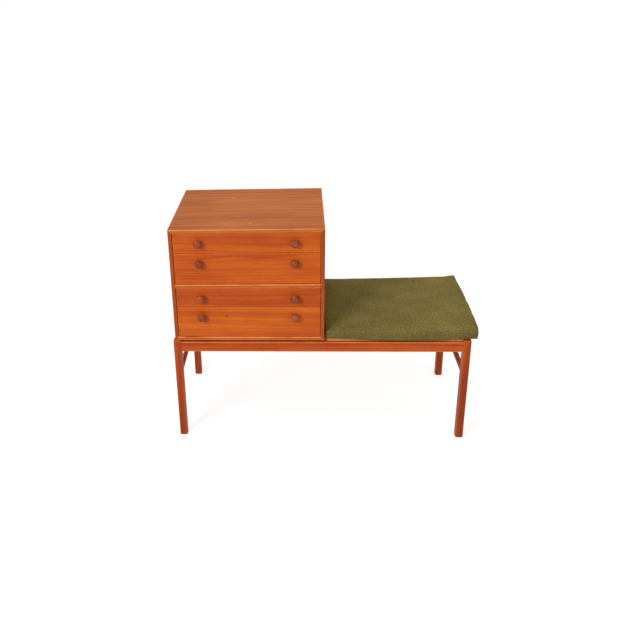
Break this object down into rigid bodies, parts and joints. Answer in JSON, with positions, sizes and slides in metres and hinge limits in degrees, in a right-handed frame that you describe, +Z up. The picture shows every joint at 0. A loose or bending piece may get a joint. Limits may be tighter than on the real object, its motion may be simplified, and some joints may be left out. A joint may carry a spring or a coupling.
{
  "type": "telephone bench",
  "caption": "Low teak frame with a chest of drawers on its left half and a loose wool seat cushion on its right half.",
  "frame": {"origin": "on the floor, in the middle of the whole bench, with the knobs and the cushion's overhang counted", "axes": "+X to the right as seen from the drawer fronts, +Y to the back, +Z up"},
  "size_m": [0.972, 0.456, 0.738],
  "materials": {
    "teak_case": "satin",
    "teak_front": "satin",
    "teak_frame": "satin",
    "knob_wood": "satin",
    "beech": "matte",
    "plywood": "matte",
    "screw_steel": "satin",
    "wool_fabric": "matte",
    "foam": "matte"
  },
  "bodies": {
    "bench": {"back_screws": "screw_steel", "case_back": "plywood", "case_bottom": "teak_case", "case_shelf": "teak_case", "case_side_left": "teak_case", "case_side_right": "teak_case", "case_top": "teak_case", "cross_rail_case": "beech", "cross_rail_seat": "beech", "frame_screws": "screw_steel", "leg_front_left": "teak_frame", "leg_front_right": "teak_frame", "leg_rear_left": "teak_frame", "leg_rear_right": "teak_frame", "mitre_tongues": "beech", "rail_front": "teak_frame", "rail_left": "teak_frame", "rail_rear": "teak_frame", "rail_right": "teak_frame", "runner_screws": "screw_steel", "runners_left": "beech", "runners_right": "beech", "seat_board": "plywood", "stretcher_left": "teak_frame", "stretcher_right": "teak_frame"},
    "cushion": {"cushion_cover": "wool_fabric", "cushion_foam": "foam"},
    "drawer_1": {"drawer_1_back": "beech", "drawer_1_bottom": "plywood", "drawer_1_front": "teak_front", "drawer_1_knob_left": "knob_wood", "drawer_1_knob_right": "knob_wood", "drawer_1_knob_screws": "screw_steel", "drawer_1_side_left": "beech", "drawer_1_side_right": "beech"},
    "drawer_2": {"drawer_2_back": "beech", "drawer_2_bottom": "plywood", "drawer_2_front": "teak_front", "drawer_2_knob_left": "knob_wood", "drawer_2_knob_right": "knob_wood", "drawer_2_knob_screws": "screw_steel", "drawer_2_side_left": "beech", "drawer_2_side_right": "beech"},
    "drawer_3": {"drawer_3_back": "beech", "drawer_3_bottom": "plywood", "drawer_3_front": "teak_front", "drawer_3_knob_left": "knob_wood", "drawer_3_knob_right": "knob_wood", "drawer_3_knob_screws": "screw_steel", "drawer_3_side_left": "beech", "drawer_3_side_right": "beech"},
    "drawer_4": {"drawer_4_back": "beech", "drawer_4_bottom": "plywood", "drawer_4_front": "teak_front", "drawer_4_knob_left": "knob_wood", "drawer_4_knob_right": "knob_wood", "drawer_4_knob_screws": "screw_steel", "drawer_4_side_left": "beech", "drawer_4_side_right": "beech"}
  },
  "joints": [
    {"name": "drawer_1_slide", "type": "slide", "parent": "bench", "child": "drawer_1", "axis": [0, -1, 0], "range_m": [0, 0.3]},
    {"name": "drawer_2_slide", "type": "slide", "parent": "bench", "child": "drawer_2", "axis": [0, -1, 0], "range_m": [0, 0.3]},
    {"name": "drawer_3_slide", "type": "slide", "parent": "bench", "child": "drawer_3", "axis": [0, -1, 0], "range_m": [0, 0.3]},
    {"name": "drawer_4_slide", "type": "slide", "parent": "bench", "child": "drawer_4", "axis": [0, -1, 0], "range_m": [0, 0.3]},
    {"name": "cushion_lift", "type": "slide", "parent": "bench", "child": "cushion", "axis": [0, 0, 1], "range_m": [0, 0.15]}
  ]
}
